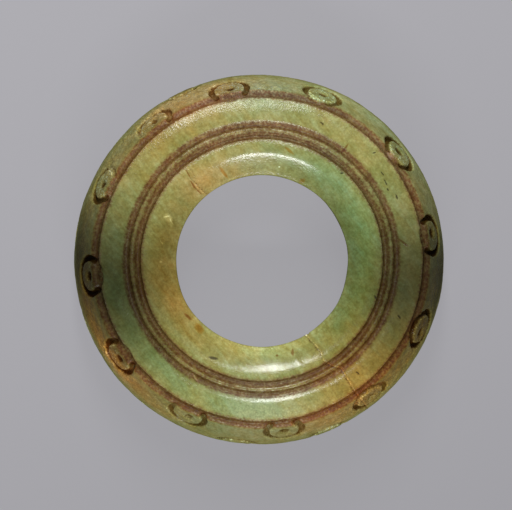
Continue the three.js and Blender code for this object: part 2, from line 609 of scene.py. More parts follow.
class Trace(Enum):
    """What use and the soil have left on the bone; the dark and the yellow-brown stains also hold painted
    shade on the left and the right and painted light at the top and the bottom.
    """

    COPPER = "copper"
    IRON = "iron_and_light"
    SOOT = "soot_and_shade"
    LOAM = "loam"
    WEAR = "wear"


@dataclass(frozen=True)
class Patch:
    """A soft-edged patch of a trace.

    Attributes:
        degrees: its middle, round from +X.
        across: its middle across the section.
        arc: how far it reaches each way round, in degrees.
        reach: how far it reaches each way across the section.
        strength: how much of it lies at the middle; below 0 it is worn or washed off, and at the top and the
            bottom it is painted light.
    """

    degrees: float
    across: float
    arc: float
    reach: float
    strength: float

    def weight(self, degrees: np.ndarray, across: np.ndarray) -> np.ndarray:
        """Its strength times a bell both ways, round the whorl and across the section."""
        round_bell = bell(turn_apart(degrees, self.degrees), self.arc)
        return self.strength * round_bell * bell(across - self.across, self.reach)


UPPER_MARKS = (
    RingMark(
        7.8, 4.36, 1.1, lean_up=-0.06, dot_shift=0.17, grime=1.0, stained=0.5,
        dust_and_glints=((-130, 0.5), (140, 0.7), (45, 0.4)),
    ),
    RingMark(37.2, 3.93, lean_up=-0.09, dot_shift=0.17, grime=0.9, dust_and_glints=((80, 0.8), (60, 0.5), (-60, 0.4))),
    RingMark(
        69.1, 3.77, lean_up=-0.08, worn=0.25, worn_towards=70, grime=0.75,
        dust_and_glints=((75, 1.2), (45, 0.8), (160, 0.6)),
    ),
    RingMark(
        100.5, 4.36, worn=0.5, worn_towards=-80, dot_shift=-0.08, grime=0.9, scraped_and_glinting=0.5, stained=0.7,
        dust_and_glints=((80, 0.9), (20, 0.6), (130, 0.7)),
    ),
    RingMark(
        128.1, 4.3, 0.9, worn=0.7, worn_towards=30, grime=0.65, scraped_and_glinting=0.3, stained=0.3,
        dust_and_glints=((-40, 1.2), (170, 0.9), (-10, 0.8), (90, 0.3)),
    ),
    RingMark(
        154.5, 4.14, 0.9, lean_on=0.06, worn=0.5, worn_towards=180, grime=0.85,
        dust_and_glints=((-30, 0.9), (60, 0.9), (10, 0.6)),
    ),
    RingMark(
        185.8, 4.465, 1.2, grime=1.0, scraped_and_glinting=0.5, stained=0.6, dust_and_glints=((60, 0.5), (110, 0.4), (-60, 0.25))
    ),
    RingMark(
        214.8, 4.36, dot_shift=0.12, grime=0.9, stained=0.4,
        dust_and_glints=((-140, 1.1), (5, 1.0), (160, 0.5), (40, 0.4)),
    ),
    RingMark(
        245, 4.3, 0.9, worn=0.6, worn_towards=130, dot_shift=0.12, grime=0.6, scraped_and_glinting=0.05, stained=0.0,
        dust_and_glints=((150, 0.9), (20, 0.6), (50, 0.6)),
    ),
    RingMark(
        277.9, 4.2, 0.9, grime=0.5, scraped_and_glinting=0.05, stained=0.0,
        dust_and_glints=((130, 0.9), (50, 0.8), (175, 0.4), (0, 0.4)),
    ),
    RingMark(
        308.7, 3.56, 0.9, lean_up=-0.07, worn=0.3, worn_towards=20, dot_shift=0.1, grime=0.7, scraped_and_glinting=0.5,
        stained=0.5, dust_and_glints=((-35, 1.3), (135, 1.1), (170, 0.8), (10, 0.6), (-110, 0.4)),
    ),
    RingMark(
        336.4, 3.72, lean_up=-0.06, dot_shift=-0.25, grime=0.95, stained=0.7,
        dust_and_glints=((-25, 1.1), (10, 0.8), (130, 0.5)),
    ),
)
LOWER_MARKS = (
    RingMark(20, -1.63),
    RingMark(53, -1.42),
    RingMark(84.8, -1.15, grime=0.9),
    RingMark(115.3, 0.77, grime=1.0, dust_and_glints=((95, 1.4), (55, 1.0), (140, 0.8)), stained=0.6),
    RingMark(140, -1.42, grime=1.0, dust_and_glints=((90, 0.9), (130, 0.7))),
    RingMark(171.5, -1.2, grime=0.9),
    RingMark(200, -1.1, grime=0.9),
    RingMark(228.8, -1.31),
    RingMark(262.8, 0.67, grime=0.8, dust_and_glints=((70, 0.6), (120, 0.5))),
    RingMark(292, 0.56, grime=0.9, dust_and_glints=((90, 1.4), (50, 0.8), (130, 0.6))),
    RingMark(325, -1.63),
    RingMark(352, -1.63, grime=0.9),
)


@dataclass(frozen=True)
class BrownGroove:
    """Brown stain and dirt along one groove, strongest in its middle.

    Attributes:
        middle: where it is strongest, across the section.
        reach: how far it spreads on each side.
    """

    middle: float
    reach: float = 0.34


BROWN_GROOVES = (BrownGroove(10.06, 0.36), BrownGroove(10.93, 0.32), BrownGroove(13.38, 0.36))

EVEN_TRACES = {Trace.COPPER: 0.2, Trace.IRON: 0.5, Trace.SOOT: 0.0, Trace.LOAM: 1.1, Trace.WEAR: 0.15}

PATCHES = {
    Trace.COPPER: (
        # blue-green bone: the right of the funnel and the left of the mid band
        Patch(10, 8, 50, 2, 0.4),
        Patch(205, 12, 40, 1.5, 0.3),
        # tan stretches that little copper reached
        Patch(125, 8, 25, 2, -0.3),
        Patch(115, 15, 30, 2.5, -0.4),
        Patch(215, 15.5, 25, 2, -0.5),
        Patch(210, 7.5, 30, 1.5, -0.25),
        Patch(300, 14.5, 30, 2.5, -0.35),
    ),
    Trace.IRON: (
        # yellow-brown stain
        Patch(190, 8, 40, 1.5, 0.7),
        Patch(130, 12.5, 20, 1.5, 0.4),
        Patch(205, 15.5, 30, 1.5, 0.8),
        Patch(310, 12, 20, 1.5, 0.6),
        Patch(320, 15, 30, 2, 0.7),
        Patch(330, 9, 30, 1, 0.5),
        # painted light: paler at the top and the bottom, towards the two lamps
        Patch(55, 8.5, 40, 1, -0.3),
        Patch(55, 16.5, 30, 1.5, -0.4),
        Patch(90, 14, 15, 2, -0.5),
        Patch(270, 12, 20, 3, -0.6),
        # browner dirt in the lower half of the grooves
        Patch(275, 10.5, 60, 0.8, 0.5),
        Patch(270, 13.4, 50, 0.4, 0.7),
    ),
    Trace.SOOT: (
        # painted light: paler at the top and the bottom, towards the two lamps, with a painted sheen at the
        # hole's lower edge
        Patch(60, 16, 25, 2.5, -0.4),
        Patch(270, 7, 40, 1, -0.5),
        # painted shade: dark on the left and the right, away from the two lamps
        Patch(190, 12, 25, 3, 1.7),
        Patch(180, 16.5, 15, 2.5, 1.5),
        Patch(350, 12, 25, 3, 1.6),
        Patch(355, 16.5, 15, 2.5, 1.5),
        Patch(175, 7.5, 30, 1.5, 0.4),
        Patch(10, 7, 40, 1, 0.5),
    ),
    Trace.WEAR: (
        # rubbed and pitted stretches of the side
        Patch(104, 15.6, 14, 1.6, 0.8),
        Patch(130, 16.2, 16, 2.0, 1.0),
        Patch(155, 15.4, 12, 1.4, 0.6),
        Patch(212, 16.2, 16, 2.0, 1.0),
        Patch(240, 15.2, 10, 1.2, 0.7),
        Patch(308, 16.0, 22, 2.0, 1.0),
        Patch(338, 15.8, 12, 1.4, 0.6),
        # rough and glittering: along the top, and outside the two brightest lines at the bottom
        Patch(90, 12.9, 13, 0.7, 0.9),
        Patch(87, 14.1, 10, 0.6, 0.9),
        Patch(98, 10.4, 28, 0.9, 0.7),
        Patch(94, 13.5, 13, 0.5, 0.6),
        Patch(270, 12.6, 34, 0.7, 0.5),
        Patch(270, 9.4, 30, 0.35, 0.5),
        Patch(90, 6.6, 40, 0.5, 0.7),
        Patch(265, 6.6, 40, 0.4, 0.6),
    ),
}

CHIPS = (
    Chip(-5.35, -9.55, 0.6, 0.16, -57, 0.07),
    Chip(11.7, 1.25, 0.5, 0.13, -38, 0.04),
    Chip(3.1, -8.4, 0.4, 0.14, -20, 0.02),
    Chip(3.85, -6.1, 0.25, 0.18, -50, 0.06),
)

DARK = (1.3, 1.4, 1.4)
BROWN = (0.5, 0.95, 1.3)
ORANGE = (0.1, 0.5, 1.2)
# pale chipped bone, and painted glints where the polish catches the lamps
PALE_AND_GLINT = (-0.5, -0.55, -0.8)
# painted highlight: white specks where the polish catches the lamps
GLINT = (-1.2, -1.3, -2.0)

FLECKS = (
    Fleck(9.19, 8.58, 0.16, 0.07, 20, DARK),
    Fleck(4.95, 10.97, 0.18, 0.08, -35, DARK),
    Fleck(6.56, 6.93, 0.14, 0.07, 10, DARK),
    Fleck(-3.87, -8.05, 0.42, 0.12, -12, DARK),
    Fleck(9.25, -3.11, 0.16, 0.09, -60, DARK),
    Fleck(11.2, -4.7, 0.2, 0.09, -50, DARK),
    Fleck(7.85, -9.27, 0.2, 0.08, -40, DARK),
    Fleck(1.32, -7.85, 0.13, 0.1, 0, BROWN),
    Fleck(2.58, -7.6, 0.12, 0.32, 0, BROWN),
    Fleck(-5.92, 6.9, 0.45, 0.06, -62, BROWN),
    Fleck(-5.48, 5.96, 0.45, 0.08, -57, BROWN),
    Fleck(-5.0, 5.42, 0.3, 0.06, -45, BROWN),
    Fleck(-3.0, 6.95, 0.6, 0.14, -52, ORANGE),
    Fleck(2.3, 8.75, 0.5, 0.12, -42, ORANGE),
    Fleck(3.35, 6.3, 0.3, 0.22, 30, ORANGE),
    Fleck(-5.0, -5.65, 0.5, 0.34, -55, ORANGE),
    Fleck(-5.9, -4.7, 0.4, 0.14, -40, BROWN),
    Fleck(6.8, 8.9, 0.5, 0.1, 55, BROWN),
    Fleck(11.55, 1.3, 0.5, 0.11, -38, BROWN),
    # painted glints: specks of light on the glossy funnel at the left, with a paler curl
    Fleck(-7.5, 3.3, 0.45, 0.3, -35, PALE_AND_GLINT),
    Fleck(-7.65, 3.4, 0.3, 0.06, 10, PALE_AND_GLINT),
    Fleck(-7.25, 3.0, 0.3, 0.06, -62, PALE_AND_GLINT),
    Fleck(-8.05, 1.3, 0.2, 0.05, -60, PALE_AND_GLINT),
    Fleck(-8.1, -0.25, 0.12, 0.09, 0, PALE_AND_GLINT),
    Fleck(10.28, 5.6, 0.14, 0.08, -60, DARK),
    Fleck(11.0, 5.0, 0.24, 0.08, -70, DARK),
    Fleck(10.1, 6.2, 0.3, 0.06, -58, DARK),
    Fleck(9.85, 6.9, 0.2, 0.06, -50, DARK),
    Fleck(-5.3, -9.65, 0.62, 0.1, -57, PALE_AND_GLINT),
    # painted highlights: two white specks of light
    Fleck(1.5, 7.44, 0.09, 0.06, 0, GLINT),
    Fleck(3.68, -6.2, 0.12, 0.08, -50, GLINT),
)

CRACKS = (
    Crack(
        (
            (3.42, -5.7), (3.56, -6.02), (4.2, -6.72), (4.85, -7.5), (5.08, -8.25), (5.85, -8.7),
            (6.55, -8.85), (6.84, -9.4), (7.3, -10.2), (7.55, -10.65), (8.1, -11.3), (8.7, -11.95),
        )
    ),
    Crack(((-4.35, 5.05), (-4.49, 5.22), (-5.11, 5.74), (-5.43, 6.16)), 0.8),
    Crack(((-5.63, 6.98), (-5.94, 7.40)), 0.5),
)


@dataclass
class WhorlBody:
    """The whorl as one closed mesh, with its marks and chips, and its stains and cracks as attributes.

    Attributes:
        columns: how many points lie round the axis.
        snap: a point this near to a line of a ring is moved onto it.
        hole_offset: how far the hole's centre lies off the axis, along X and Y.
        wobble, wobble_length: how far the radius wavers, and over what length.
        lump_depth, lump_length, lump_above: relief by hand work, its length, and where it is whole.
        in_sight, fade_reach: stains fade outside this place across the section, over this reach.
        rub_depth, rub_length, rub_dust_and_glints: relief of the rubbed stretches, its length, and their
        pale dusting and painted sparkle.
        rub_edge, side_edge: where rubbing and dullness start and are whole, outwards from the side's
            upper edge.
        dust_and_glint_arc, dust_and_glint_inset, dust_and_glint_reach: how far the pale dusting and painted
        glints reach along a ring, in degrees, how far inside the ring's line they lie, and how far they
        reach across.
        inside_edge: over what width the stain inside a ring fades in.
        near_mark: how far out a mark is cut.
        crack_reach: the largest distance from a crack that is stored.
    """

    section: WhorlSection = field(default_factory=WhorlSection)
    bit: MarkBit = field(default_factory=MarkBit)
    marks: tuple[RingMark, ...] = UPPER_MARKS + LOWER_MARKS
    columns: int = 740
    snap: float = 0.052
    hole_offset: Pair = (0.11, -0.18)
    wobble: float = 0.03
    wobble_length: float = 9.0
    lump_depth: float = 0.018
    lump_length: float = 3.2
    lump_above: float = 2.0
    in_sight: float = 16.8
    fade_reach: float = 1.5
    rub_depth: float = 0.06
    rub_length: float = 0.6
    rub_dust_and_glints: float = 0.3
    rub_edge: Pair = (-0.1, 0.3)
    side_edge: Pair = (0.6, 3.4)
    dust_and_glint_arc: float = 26
    dust_and_glint_inset: float = 0.08
    dust_and_glint_reach: float = 0.2
    inside_edge: float = 0.5
    near_mark: float = 3.0
    crack_reach: float = 1.5

    def build(self, finish: bpy.types.Material) -> bpy.types.Object:
        """Makes the mesh in the CAD node's place and dresses it.

        Args:
            finish: the bone's material.

        Returns:
            The whorl's object.
        """
        rows = self.section.rows()
        bearing, radius, height, across = self.grid(rows)
        points = self.places(bearing, radius, height)
        normals = self.normals(points)
        degrees = np.degrees(bearing)
        values = self.traces(degrees, across, np.broadcast_to(rows.top[:, None], across.shape))
        lumps = self.lump_depth * ripple(points, self.lump_length, seed=3)
        rubbed = self.past_edge(self.rub_edge, across) * values["wear"]
        rubs = self.rub_depth * rubbed * ripple(points, self.rub_length, seed=5)
        points += normals * (lumps * smooth_step(0, self.lump_above, height) + rubs)[..., None]
        points, ring_distance, pit, grime, dust_and_glints, inside = self.cut_marks(points)
        points = self.cut_chips(points)
        values["ring_distance"] = ring_distance
        values["side"] = self.past_edge(self.side_edge, across)
        values["pit"], values["grime"] = pit, grime
        # pale dusting and painted glints on the marks, and painted sparkle on the rubbed stretches
        values["dust_and_glints"], values["inside"] = dust_and_glints + self.rub_dust_and_glints * rubbed, inside
        values["crack"], values["crack_show"] = self.crack_distance(points)
        return self.mesh_object(points, values, finish)

    def past_edge(self, bounds: Pair, across: np.ndarray) -> np.ndarray:
        """Rises from 0 to 1 between two distances outwards from the side's upper edge."""
        return smooth_step(*(self.section.worn_edge + bound for bound in bounds), across)

    def grid(self, rows: SectionRows) -> tuple[np.ndarray, ...]:
        """Lays every row round the axis, and moves the side's points onto the nearest ring of a mark.

        A point that is within the snap distance of a ring's lip, bottom or dot moves straight away from
        or towards the mark's centre until it lies on it, so the rings come out round.

        Args:
            rows: the section.

        Returns:
            Bearing in radians, radius, height and distance across, each (rows, columns).
        """
        turn = np.arange(self.columns) * TAU / self.columns
        shape = (len(rows.radius), self.columns)
        laid = (turn, rows.radius[:, None], rows.height[:, None], rows.across[:, None])
        bearing, radius, height, across = (np.broadcast_to(values, shape).copy() for values in laid)
        rises = self.section.side_rises()
        first = int(np.argmax(rows.radius >= self.section.worn_edge - TINY))
        side = slice(first, first + len(rises))
        rise = np.broadcast_to(rises[:, None], bearing[side].shape).copy()
        on = bearing[side]
        half = self.bit.groove_width / 2
        ring = self.bit.ring_radius
        rings = (ring - half, ring, ring + half)
        for mark in self.marks:
            middle = self.section.side_point(mark.rise)[0]
            off_on = np.radians(turn_apart(np.degrees(on), mark.degrees)) * middle
            off_up = rise - mark.rise
            distance = np.hypot(off_on, off_up) + TINY
            away = np.stack([target - distance for target in rings])
            nearest = np.take_along_axis(away, np.abs(away).argmin(0)[None], 0)[0]
            # the first and last rows stay on the side's edges
            move = np.where(np.abs(nearest) < self.snap, nearest, 0.0)
            move[0] = move[-1] = 0.0
            on += move * off_on / distance / middle
            rise += move * off_up / distance
        bearing[side] = on
        radius[side], height[side] = self.section.side_point(rise)
        across[side] = self.section.worn_edge + self.section.worn_rise - rise
        return bearing, radius, height, across

    def places(self, bearing: np.ndarray, radius: np.ndarray, height: np.ndarray) -> np.ndarray:
        """Turns the grid into points, with the turner's small errors.

        The radius wavers with the bearing, and the hole's centre lies a little off the axis: the shift
        grows from nothing at the outline to its whole at the hole.

        Args:
            bearing, radius, height: the grid.

        Returns:
            (rows, columns, 3) points in mm.
        """
        section = self.section
        ring = np.stack([np.cos(bearing), np.sin(bearing), radius / section.outer_radius], -1)
        waver = self.wobble * ripple(ring * section.outer_radius, self.wobble_length, seed=11)
        share = np.clip((section.outer_radius - radius) / (section.outer_radius - section.bore_radius), 0, 1)
        reach = radius + waver
        points = np.stack([reach * np.cos(bearing), reach * np.sin(bearing), height], -1)
        points[..., :2] += share[..., None] * np.array(self.hole_offset)
        return points

    @staticmethod
    def normals(points: np.ndarray) -> np.ndarray:
        """Outward normals of the closed grid: the step to the next row crossed with the step round.

        Args:
            points: the surface.

        Returns:
            Its unit normals.
        """
        along = np.roll(points, -1, 0) - np.roll(points, 1, 0)
        around = np.roll(points, -1, 1) - np.roll(points, 1, 1)
        outward = np.cross(along, around)
        return outward / np.linalg.norm(outward, axis=-1, keepdims=True)

    @staticmethod
    def soft_min(one: np.ndarray, other: np.ndarray, blend: float) -> np.ndarray:
        """The lower of two heights, rounded where they are within the blend of each other."""
        share = np.clip(0.5 + 0.5 * (other - one) / blend, 0, 1)
        return other + (one - other) * share - blend * share * (1 - share)

    def cut_marks(self, points: np.ndarray) -> tuple[np.ndarray, ...]:
        """Cuts every ring-and-dot mark along its own axis.

        In a mark's own frame the uncut surface falls away as -d² / (2·curve). The bit's floor lies
        under it by the depth times the bit's cut, and a point stays at the lower of the two.

        Args:
            points: the surface.

        Returns:
            The cut surface, each point's distance from the nearest mark's axis, how deep it was cut as a
            share of the bit's depth, the mark's dirt, the pale dusting and painted glints at its ring, and
            the stain inside it.
        """
        points = points.copy()
        nearest = np.full(points.shape[:-1], self.near_mark)
        pit, grime, dust_and_glints, inside = (np.zeros_like(nearest) for _ in range(4))
        for mark in self.marks:
            turn = math.radians(mark.degrees)
            tilt = mark.rise / self.section.side_curve
            radius, height = self.section.side_point(mark.rise)
            outwards = np.array([math.cos(turn), math.sin(turn), 0.0])
            centre = radius * outwards + (0, 0, height)
            out = math.cos(tilt) * outwards + (0, 0, math.sin(tilt))
            on = np.array([-math.sin(turn), math.cos(turn), 0.0])
            up = np.cross(out, on)
            offset = points - centre
            close = (offset**2).sum(-1) < self.near_mark**2
            local = offset[close] @ np.stack([on, up, out], -1)
            distance = np.hypot(local[:, 0], local[:, 1])
            bearing = np.arctan2(local[:, 1], local[:, 0])
            rubbed = mark.worn * np.maximum(0, np.cos(bearing - math.radians(mark.worn_towards)))
            depth = self.bit.depth * mark.depth * (1 - rubbed)
            uncut = -(distance**2) / (2 * self.bit.surface_curve)
            uncut += mark.lean_on * -local[:, 0] + mark.lean_up * -local[:, 1]
            dot_distance = np.hypot(local[:, 0] - mark.dot_shift, local[:, 1])
            floor = uncut - depth * self.bit.cut(distance, dot_distance)
            level = self.soft_min(local[:, 2], floor, self.bit.lip)
            points[close] = points[close] + (level - local[:, 2])[:, None] * out
            on_side = np.abs(local[:, 2] - uncut) < self.bit.depth / 2
            here = on_side & (distance < nearest[close])
            nearest[close] = np.where(here, distance, nearest[close])
            pit[close] = np.maximum(pit[close], (local[:, 2] - level) / self.bit.depth)
            grime[close] = np.where(here, mark.grime, grime[close])
            # pale dusting and painted glints along the ring's edges, and over its inside where scraped
            at_ring = bell(distance - self.bit.ring_radius + self.dust_and_glint_inset, self.dust_and_glint_reach)
            between = here & (distance < self.bit.ring_radius) & (dot_distance > self.bit.dot_radius / 2)
            dust_and_glints[close] += mark.scraped_and_glinting * between
            within = smooth_step(self.bit.ring_radius, self.bit.ring_radius - self.inside_edge, distance)
            inside[close] += mark.stained * here * within
            for towards, amount in mark.dust_and_glints:
                apart = turn_apart(np.degrees(bearing), towards)
                dust_and_glints[close] += amount * at_ring * bell(apart, self.dust_and_glint_arc)
        return points, nearest, pit, grime, dust_and_glints, inside

    def cut_chips(self, points: np.ndarray) -> np.ndarray:
        """Scoops out each chip: depth·(1 - q²)², where q is the share of its reach, straight inwards.

        Args:
            points: the surface.

        Returns:
            The cut surface.
        """
        inwards = -self.normals(points)
        top = points[..., 2] > self.section.widest_height
        for chip in CHIPS:
            turn = math.radians(chip.bearing)
            off_x, off_y = points[..., 0] - chip.x, points[..., 1] - chip.y
            along = (off_x * math.cos(turn) + off_y * math.sin(turn)) / chip.length
            beside = (off_y * math.cos(turn) - off_x * math.sin(turn)) / chip.width
            share = np.clip(1 - along**2 - beside**2, 0, 1) * top
            points = points + inwards * (chip.depth * share**2)[..., None]
        return points

    def crack_distance(self, points: np.ndarray) -> tuple[np.ndarray, np.ndarray]:
        """Signed distance from the nearest crack, seen from above, and how plainly that crack shows.

        Args:
            points: the surface.

        Returns:
            The distance, positive on the left of the crack's path, and the show, 0 to 1.
        """
        flat = points[..., :2]
        best = np.full(flat.shape[:-1], self.crack_reach)
        show = np.zeros_like(best)
        for crack in CRACKS:
            path = np.array(crack.path)
            for start, end in zip(path, path[1:]):
                line = end - start
                offset = flat - start
                share = np.clip(offset @ line / (line @ line), 0, 1)
                gap = offset - share[..., None] * line
                side = np.sign(line[0] * offset[..., 1] - line[1] * offset[..., 0])
                distance = np.hypot(gap[..., 0], gap[..., 1])
                closer = (distance < np.abs(best)) & (points[..., 2] > self.section.widest_height)
                best = np.where(closer, distance * np.where(side == 0, 1, side), best)
                show = np.where(closer, crack.strength * np.ones_like(show), show)
        return best, show

    def traces(self, degrees: np.ndarray, across: np.ndarray, top: np.ndarray) -> dict[str, np.ndarray]:
        """Adds up the patches of each trace, which fade where the side turns out of sight.

        Args:
            degrees, across, top: the grid's bearings, its places across the section, and 1 on top.

        Returns:
            One array of amounts for each trace.
        """
        values = {trace: np.full_like(across, amount) for trace, amount in EVEN_TRACES.items()}
        shown = top * bell(np.maximum(across - self.in_sight, 0), self.fade_reach)
        for trace, patches in PATCHES.items():
            for patch in patches:
                values[trace] += patch.weight(degrees, across) * shown
        brown = np.zeros_like(across)
        for groove in BROWN_GROOVES:
            brown += bell(across - groove.middle, groove.reach) * top
        return {"brown": brown, **{trace.value: value for trace, value in values.items()}}

    def mesh_object(
        self, points: np.ndarray, values: dict[str, np.ndarray], finish: bpy.types.Material
    ) -> bpy.types.Object:
        """Joins the grid's points by quads, both ways round, and stores the values on them.

        Args:
            points: (rows, columns, 3) in mm.
            values: arrays of the same rows and columns.
            finish: the material.

        Returns:
            The object.
        """
        count_rows, count_columns = points.shape[:2]
        index = np.arange(count_rows * count_columns).reshape(count_rows, count_columns)
        below, beside = np.roll(index, -1, 0), np.roll(index, -1, 1)
        faces = np.stack([index, below, np.roll(below, -1, 1), beside], -1).reshape(-1, 4)
        mesh = bpy.data.meshes.new("whorl_body")
        mesh.from_pydata((points.reshape(-1, 3) * MM).tolist(), [], faces.tolist())
        mesh.polygons.foreach_set("use_smooth", np.ones(len(faces), bool))
        for name, value in values.items():
            layer = mesh.attributes.new(name, "FLOAT", "POINT")
            layer.data.foreach_set("value", value.astype(np.float32).ravel())
        mesh.materials.append(finish)
        mesh.update()
        return linked("whorl_body", mesh)


def math_node(operation: str, turned: bool = False) -> Callable[..., "Wire"]:
    """A method that adds a Math node on a wire and other values.

    Args:
        operation: the node's operation.
        turned: whether the other value comes first.

    Returns:
        The method.
    """

    def method(self: "Wire", *others: Any) -> "Wire":
        """The result of the node."""
        values = (*others, self) if turned else (self, *others)
        return self.graph.add("ShaderNodeMath", {"operation": operation}, dict(enumerate(values)))

    return method


@dataclass(frozen=True)
class Wire:
    """An output socket that sums can be written with, as each operator adds a Math node."""

    graph: "Graph"
    socket: bpy.types.NodeSocket

    __add__, __radd__ = math_node("ADD"), math_node("ADD", turned=True)
    __sub__, __rsub__ = math_node("SUBTRACT"), math_node("SUBTRACT", turned=True)
    __mul__ = math_node("MULTIPLY")
    __truediv__ = math_node("DIVIDE")
    size = math_node("ABSOLUTE")
    most = math_node("MAXIMUM")
    least = math_node("MINIMUM")
    exponent = math_node("EXPONENT")

    def rise(self, low: float, high: float) -> "Wire":
        """Smooth step.

        Args:
            low, high: where it is 0 and where it is 1; high below low makes it fall.

        Returns:
            0 to 1.
        """
        falls = high < low
        bounds = {"From Min": min(low, high), "From Max": max(low, high)}
        ends = {"To Min": float(falls), "To Max": float(not falls)}
        settings = {"interpolation_type": "SMOOTHSTEP"}
        return self.graph.add("ShaderNodeMapRange", settings, {"Value": self, **bounds, **ends})


class Graph:
    """The node tree of one material or of the world."""

    def __init__(self, owner: bpy.types.ID) -> None:
        """Starts with an empty tree.

        Args:
            owner: the material or the world.
        """
        owner.use_nodes = True
        self.tree = owner.node_tree
        self.tree.nodes.clear()

    def add(
        self,
        kind: str,
        settings: dict[str, Any] | None = None,
        inputs: dict[Any, Any] | None = None,
        output: Any = 0,
    ) -> Wire:
        """Adds any node: its settings first, then the values or links of its sockets.

        Args:
            kind: the node's type.
            settings: its properties.
            inputs: a number, colour, vector or Wire for each socket, by name or place.
            output: which output is returned.

        Returns:
            That output.
        """
        node = self.tree.nodes.new(kind)
        for name, value in (settings or {}).items():
            setattr(node, name, value)
        for key, value in (inputs or {}).items():
            if isinstance(value, Wire):
                self.tree.links.new(value.socket, node.inputs[key])
            else:
                node.inputs[key].default_value = value
        return Wire(self, node.outputs[output] if len(node.outputs) else None)

    def mix(self, share: Any, one: Any, other: Any) -> Wire:
        """Mixes two colours: one at share 0, the other at share 1."""
        return self.add("ShaderNodeMix", {"data_type": "RGBA"}, {0: share, 6: one, 7: other}, 2)

    def vector(self, operation: str, vector: Wire, other: Any) -> Wire:
        """Adds a Vector Math node on a vector and another, or a number for each of its parts."""
        return self.add("ShaderNodeVectorMath", {"operation": operation}, {0: vector, 1: other})

    def attribute(self, name: str) -> Wire:
        """A value stored on the mesh."""
        return self.add("ShaderNodeAttribute", {"attribute_name": name}, output="Fac")

    def spot(self, place: Wire, fleck: Fleck, high: float, edge: Pair = (1.25, 0.45)) -> Wire:
        """A soft-edged ellipse, 1 in its middle, that lies level near the top.

        Args:
            place: places in mm.
            fleck: where it lies.
            high: the top's height; the spot fades away below it.
            edge: where it ends and where it is whole, as shares of its reach.

        Returns:
            0 to 1.
        """
        inputs = {
            "Vector": place,
            "Location": (fleck.x, fleck.y, high),
            "Rotation": (0, 0, math.radians(fleck.bearing)),
            "Scale": (fleck.length, fleck.width, high / 2),
        }
        inside = self.add("ShaderNodeMapping", {"vector_type": "TEXTURE"}, inputs)
        away = self.add("ShaderNodeVectorMath", {"operation": "LENGTH"}, {0: inside}, "Value")
        return away.rise(*edge)

    def noise(self, place: Wire, scale: float, detail: float = 3.0, roughness: float = 0.55) -> Wire:
        """Cloudy noise around 0.5."""
        inputs = {"Vector": place, "Scale": scale, "Detail": detail, "Roughness": roughness}
        return self.add("ShaderNodeTexNoise", {"noise_dimensions": "3D"}, inputs, "Fac")


@dataclass(frozen=True)
class BoneFinish:
    """Green-stained bone: stains that soak into pale bone, clouds and streaks in them, and a soft polish,
    with painted shade, painted light and painted glints laid in among them.

    Each stain takes light away from the bone, as dye does: the colour is the bone's own times
    exp(-(amount · strength)), for red, green and blue, summed over the stains and marks.

    Attributes:
        bone: colour of the plain bone.
        copper, iron, soot, loam, residue: strengths of the stains; residue is the dirt in the marks. The
            yellow-brown stain also carries painted light, paler at the top and the bottom, and the dark
            stain painted shade on the left and the right.
        rim_pale, dust_and_glint_pale, crack_pale, crack_dark, crack_stain: strengths of the marks; below 0
        is paler. The pale dusting's strength also paints glints where the polish catches the lamps.
        grain_bearing: direction of the bone's grain, in degrees from +X.
        grain_stretch, fibre_stretch: streaks per mm along the grain, across it and upwards.
        top: height of the decorated top.
        ragged: how far the flecks' edges are frayed.
        ring_iron, ring_soot: how much of each stain the marks' insides have.
        specks: dark specks: everywhere, where it is worn and where the pale dusting and painted glints lie.
        most_wear: where wear stops adding up.
        loam_edge, residue_edge: brown in the grooves and depth in the marks at which dirt starts and is
            whole.
        rim: how far from the middle of a mark's groove its pale rims lie.
        dust_and_glint_level: the own share of the pale dusting and painted glints in where they show, and
            what that sum has to rise above.
        polish, worn_dull, dirt_dull, dullest: roughness, what wear and dirt add, and the most it gets.
        fine_relief, worn_relief, dirt_relief, mottle_relief, crack_relief: heights of the bump in mm.
        dirt_cover, residue_cover, side_cover, most_cover: how far each hides the polish.
    """

    bone: Triple = (0.42, 0.42, 0.20)
    copper: Triple = (1.30, 0.47, 0.63)
    iron_and_light: Triple = (0.15, 0.50, 1.24)
    soot_and_shade: Triple = (1.0, 1.0, 1.0)
    loam: Triple = (0.5, 1.0, 1.0)
    residue: Triple = (1.5, 2.1, 2.8)
    rim_pale: Triple = (-0.5, -0.45, -0.35)
    dust_and_glint_pale: Triple = (-0.95, -1.15, -1.75)
    crack_pale: Triple = (-0.75, -0.7, -0.9)
    crack_dark: Triple = (0.9, 1.1, 1.2)
    crack_stain: Triple = (0.1, 0.2, 0.3)
    grain_bearing: float = -51.5
    grain_stretch: Triple = (0.28, 1.4, 0.9)
    fibre_stretch: Triple = (1.1, 5.5, 4.0)
    top: float = 9.6
    ragged: float = 0.12
    ring_iron: float = 0.5
    ring_soot: float = 0.55
    specks: Triple = (0.5, 0.9, 2.5)
    most_wear: float = 1.2
    loam_edge: Pair = (0.1, 0.8)
    residue_edge: Pair = (0.12, 0.55)
    rim: float = 0.31
    dust_and_glint_level: Pair = (0.8, 0.5)
    polish: float = 0.16
    worn_dull: float = 0.12
    dirt_dull: float = 0.2
    dullest: float = 0.6
    fine_relief: float = 0.003
    worn_relief: float = 0.035
    dirt_relief: float = 0.02
    mottle_relief: float = 0.008
    crack_relief: float = 0.02
    dirt_cover: float = 0.6
    residue_cover: float = 0.8
    side_cover: float = 0.75
    most_cover: float = 0.9

    def material(self) -> bpy.types.Material:
        """Builds the material.

        Returns:
            The bone's material.
        """
        material = bpy.data.materials.new("green_stained_bone")
        graph = BoneGraph(material, self)
        graph.add("ShaderNodeOutputMaterial", {}, {"Surface": graph.surface(graph.colour())})
        return material


